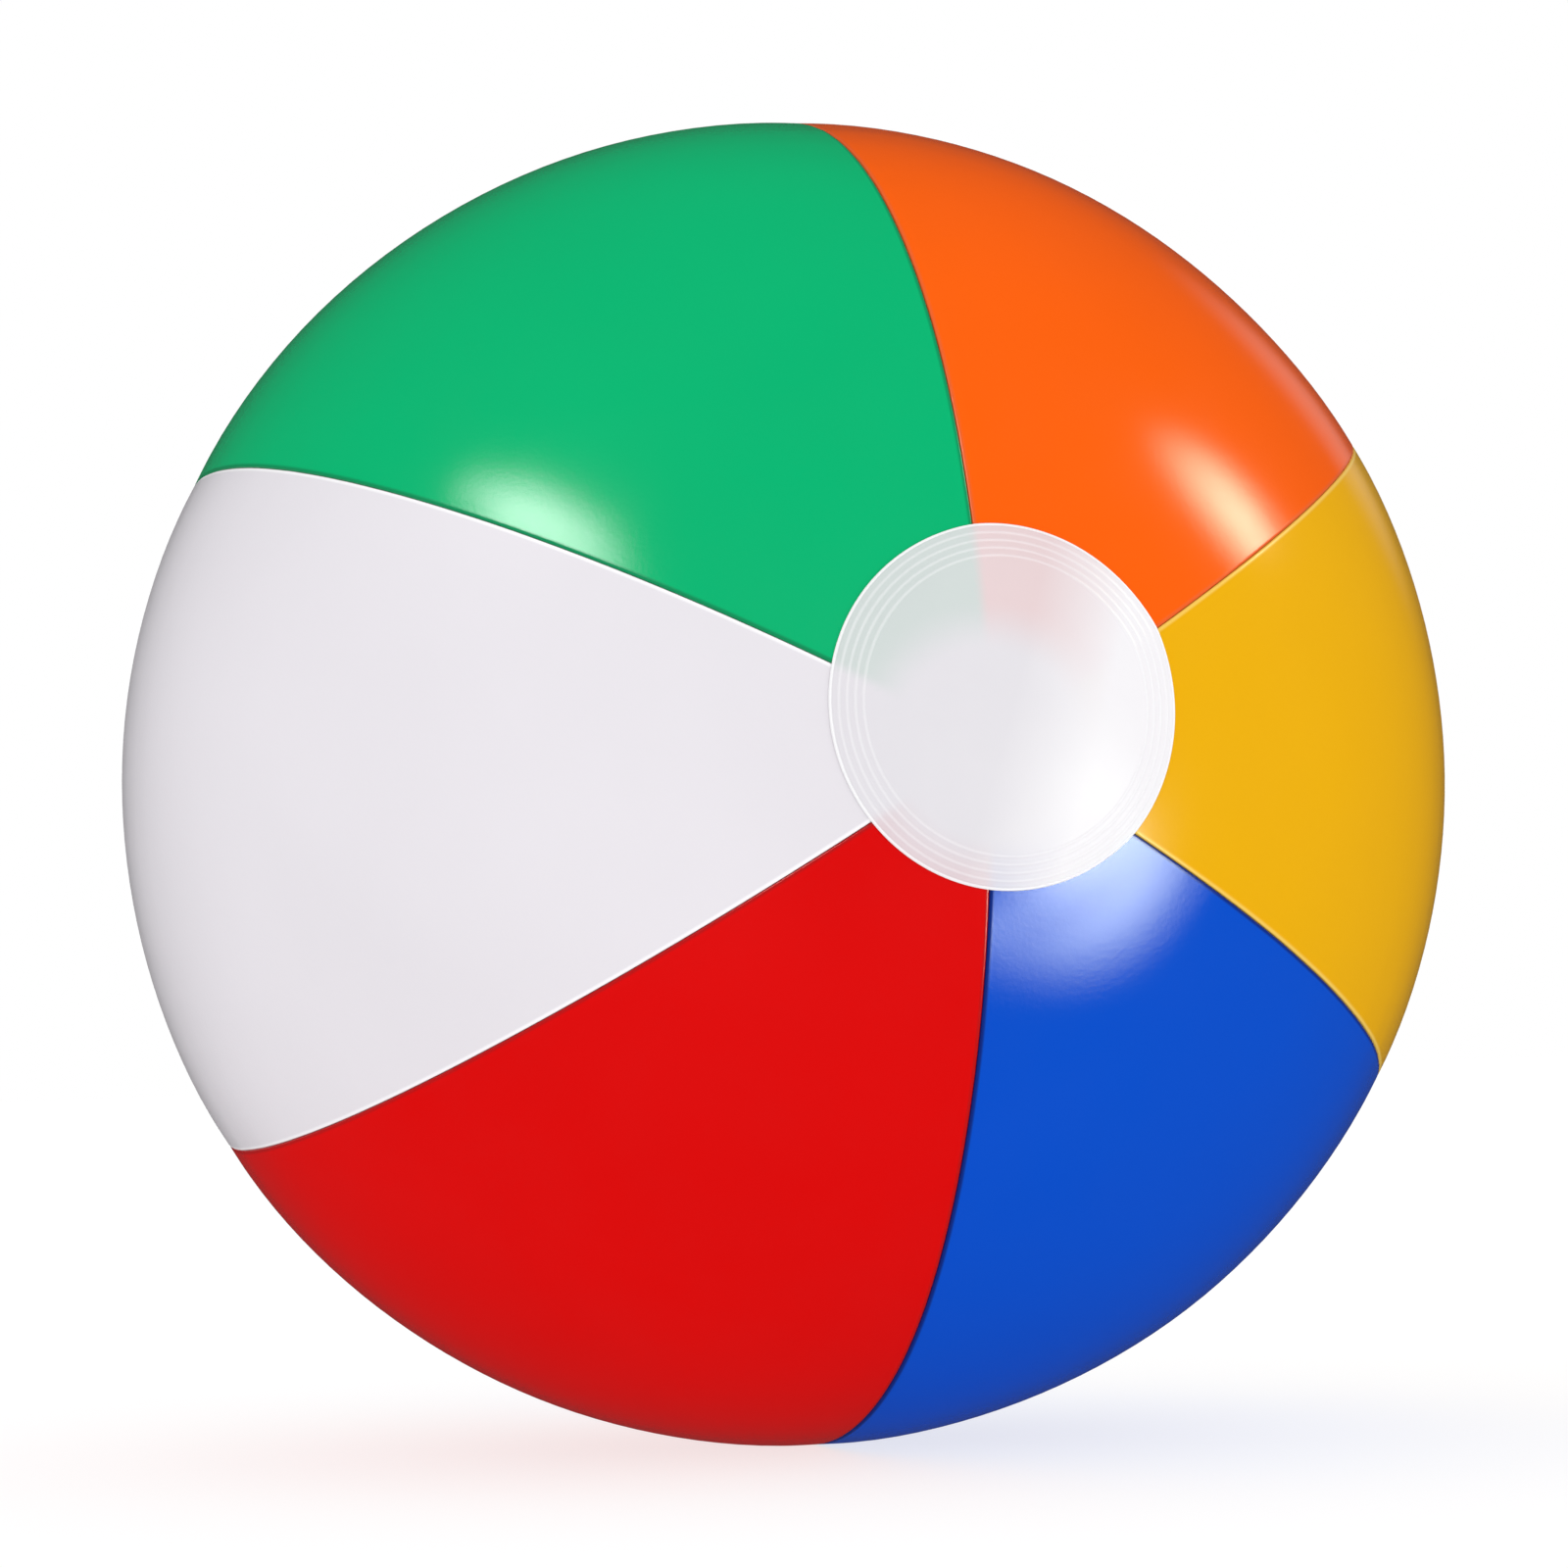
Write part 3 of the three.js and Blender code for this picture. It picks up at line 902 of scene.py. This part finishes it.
def makeLamp(name, lamp, cameraAxes):
    data = bpy.data.lights.new(name, "AREA")
    data.shape = "RECTANGLE"
    data.size, data.size_y = lamp["size"]
    data.energy = lamp["power"]
    data.color = lamp["tint"]
    shader = Shader(data)
    spot = shader.add("ShaderNodeTexCoord", out="UV")
    sockets = {0: spot, 1: (0.5, 0.5, 0)}
    fromMiddle = shader.add("ShaderNodeVectorMath", {"operation": "DISTANCE"}, sockets, out="Value")
    fade = shader.smooth(fromMiddle, lamp["core"] / 2, 0.5, 1, 0)
    glow = shader.add("ShaderNodeEmission", sockets={"Strength": fade})
    shader.add("ShaderNodeOutputLight", sockets={"Surface": glow})
    light = bpy.data.objects.new(name, data)
    bpy.context.scene.collection.objects.link(light)
    direction = (cameraAxes @ Vector(lamp["to"])).normalized()
    light.location = direction * lamp["away"]
    light.rotation_mode = "QUATERNION"
    roll = Quaternion((0, 0, 1), math.radians(lamp["roll"]))
    light.rotation_quaternion = (-direction).to_track_quat("-Z", "Y") @ roll
    light.visible_camera = False
    light.visible_diffuse = not lamp["mirrored"]
    light.visible_glossy = lamp["mirrored"]


def makeRoom():
    world = bpy.data.worlds.new("studio")
    bpy.context.scene.world = world
    world.cycles.sampling_method = "NONE"   # so that each kind of ray sees its own level
    shader = Shader(world)
    level = studio["reflectedRoom"]
    for ray, strength in (("Is Camera Ray", studio["backdrop"]), ("Is Diffuse Ray", studio["skyLight"])):
        kind = shader.add("ShaderNodeLightPath", out=ray)
        level = level + kind * (strength - studio["reflectedRoom"])
    room = shader.add("ShaderNodeBackground", sockets={"Color": (1, 1, 1, 1), "Strength": level})
    shader.add("ShaderNodeOutputWorld", sockets={"Surface": room})


def makeFloor():
    work = bmesh.new()
    bmesh.ops.create_circle(work, cap_ends=True, segments=128, radius=studio["floorRadius"])
    mesh = bpy.data.meshes.new("floor")
    work.to_mesh(mesh)
    work.free()
    floor = newPiece("floor", mesh)
    floor.location.z = ball["restLevel"]
    material = bpy.data.materials.new("pale floor")
    shader = Shader(material)
    clouds = shader.noise(shader.spot(), 3, 3)
    color = studio["floorColor"]
    tone = shader.mix(clouds, rgb(color, studio["floorCloud"]), rgb(color))
    paint = shader.add("ShaderNodeBsdfDiffuse", sockets={"Color": tone})
    glow = shader.add("ShaderNodeEmission", sockets={"Strength": studio["floorGlow"]})
    surface = shader.add("ShaderNodeAddShader", sockets={0: paint, 1: glow})
    shader.add("ShaderNodeOutputMaterial", sockets={"Surface": surface})
    mesh.materials.append(material)
    floor.visible_glossy = False


cameraAxes = makeCamera()
for name, lamp in lamps.items():
    makeLamp(name, lamp, cameraAxes)
makeRoom()
makeFloor()
bpy.context.scene.view_settings.view_transform = "Standard"
print("studio made")
